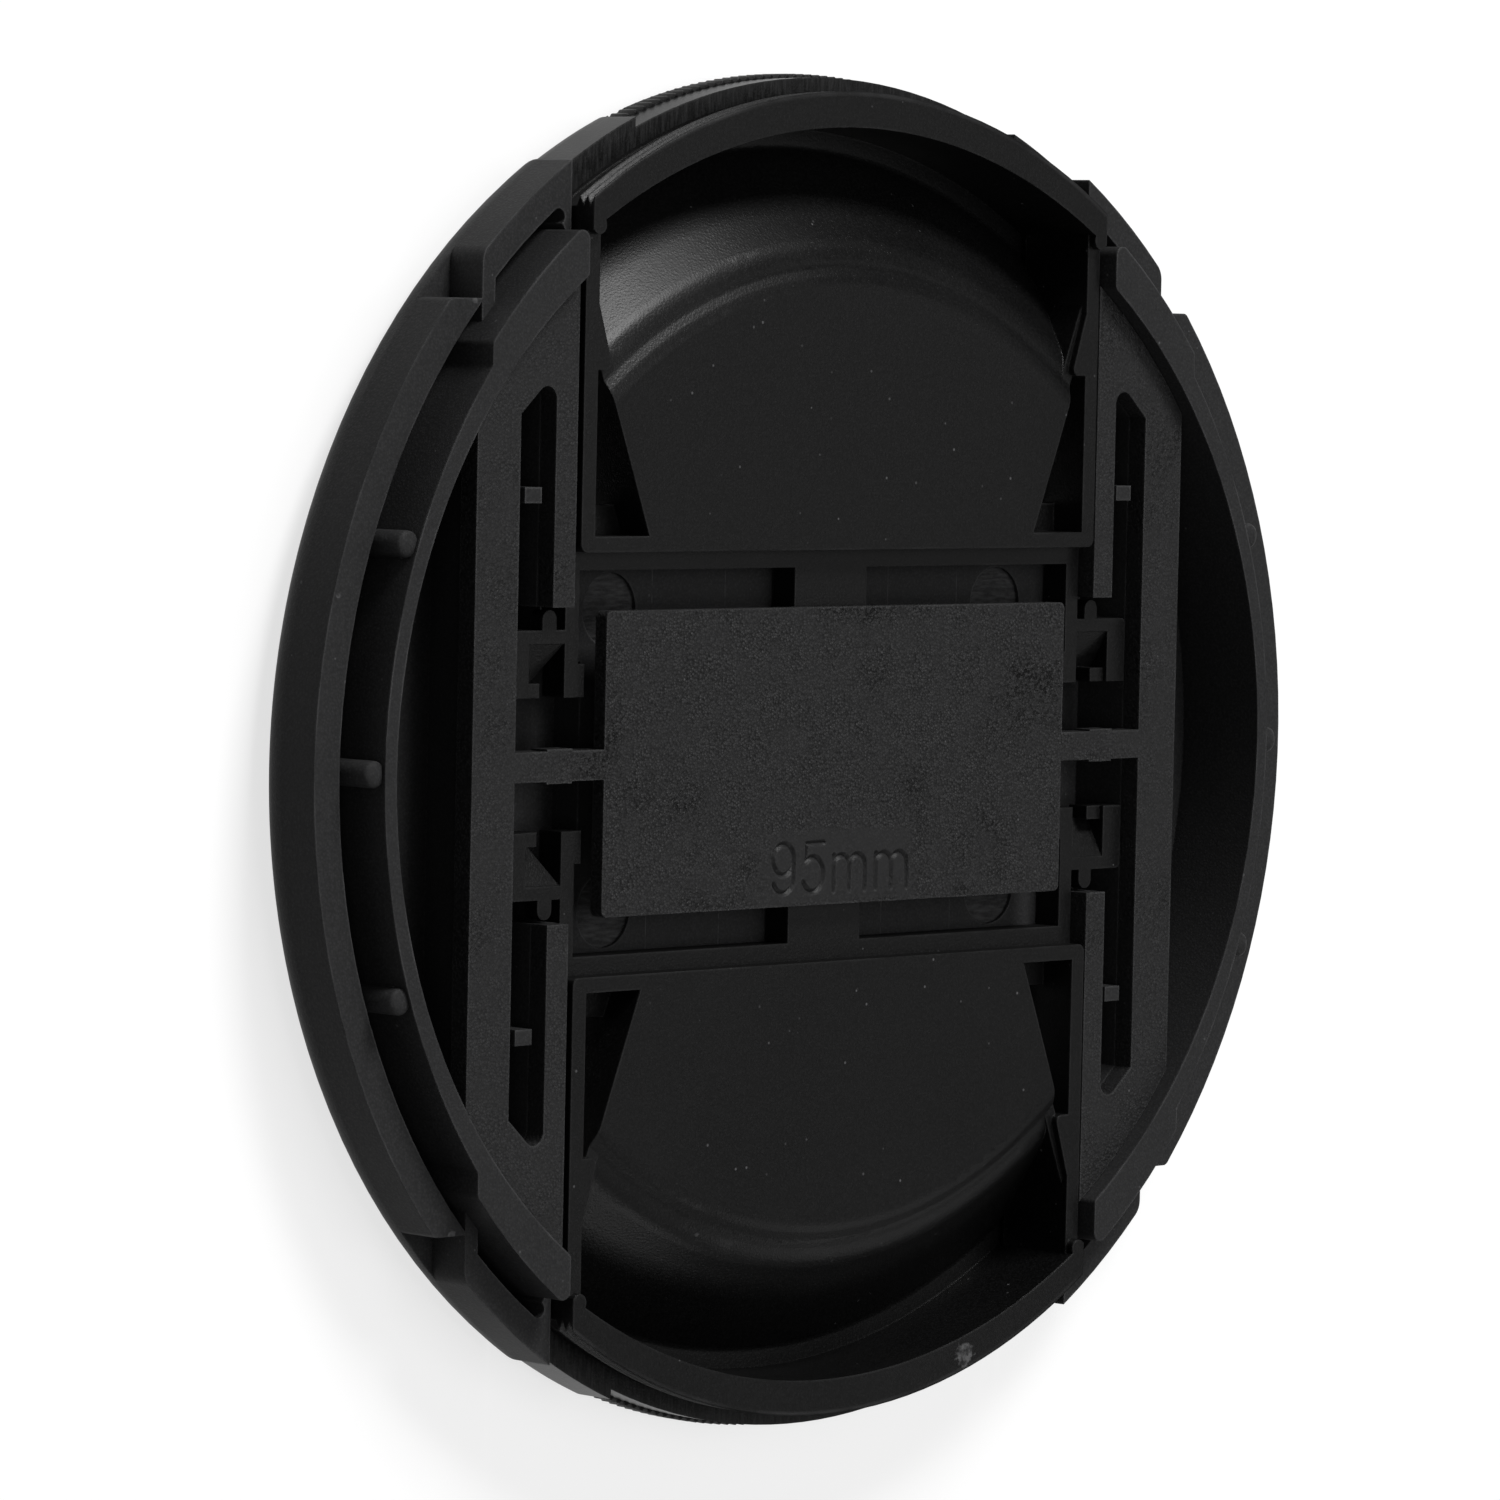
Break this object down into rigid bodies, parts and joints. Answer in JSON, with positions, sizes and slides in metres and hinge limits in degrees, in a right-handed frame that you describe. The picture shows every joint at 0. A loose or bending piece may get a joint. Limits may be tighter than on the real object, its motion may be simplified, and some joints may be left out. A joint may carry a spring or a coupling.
{
  "type": "centre-pinch lens cap",
  "caption": "Round black plastic lens cap, seen from its lens side, with spring-loaded pinch sliders whose thread ridges catch the lens filter thread, a locating ring and a retainer plate.",
  "frame": {"origin": "centre of the flat front face, which lies on the table", "axes": "+Z out of the back of the cap towards the lens, +Y along the pinch towards the upper slider, +X to the right"},
  "size_m": [0.0992, 0.0974, 0.0088],
  "materials": {
    "body": "satin moulded black",
    "retainer": "satin moulded black",
    "slider": "satin moulded black",
    "spring": "bright drawn wire"
  },
  "bodies": {
    "cap": {"cap_body": "body", "retainer": "retainer", "upper_spring": "spring", "lower_spring": "spring"},
    "upper_slider": {"upper_slider": "slider"},
    "lower_slider": {"lower_slider": "slider"}
  },
  "joints": [
    {"name": "upper_pinch", "type": "slide", "parent": "cap", "child": "upper_slider", "axis": [0, -1, 0], "range_m": [0, 0.003], "stiffness_N_per_m": 300, "springref_m": -0.004, "deforming": ["upper_spring"]},
    {"name": "lower_pinch", "type": "slide", "parent": "cap", "child": "lower_slider", "axis": [0, 1, 0], "range_m": [0, 0.003], "stiffness_N_per_m": 300, "springref_m": -0.004, "deforming": ["lower_spring"]}
  ]
}
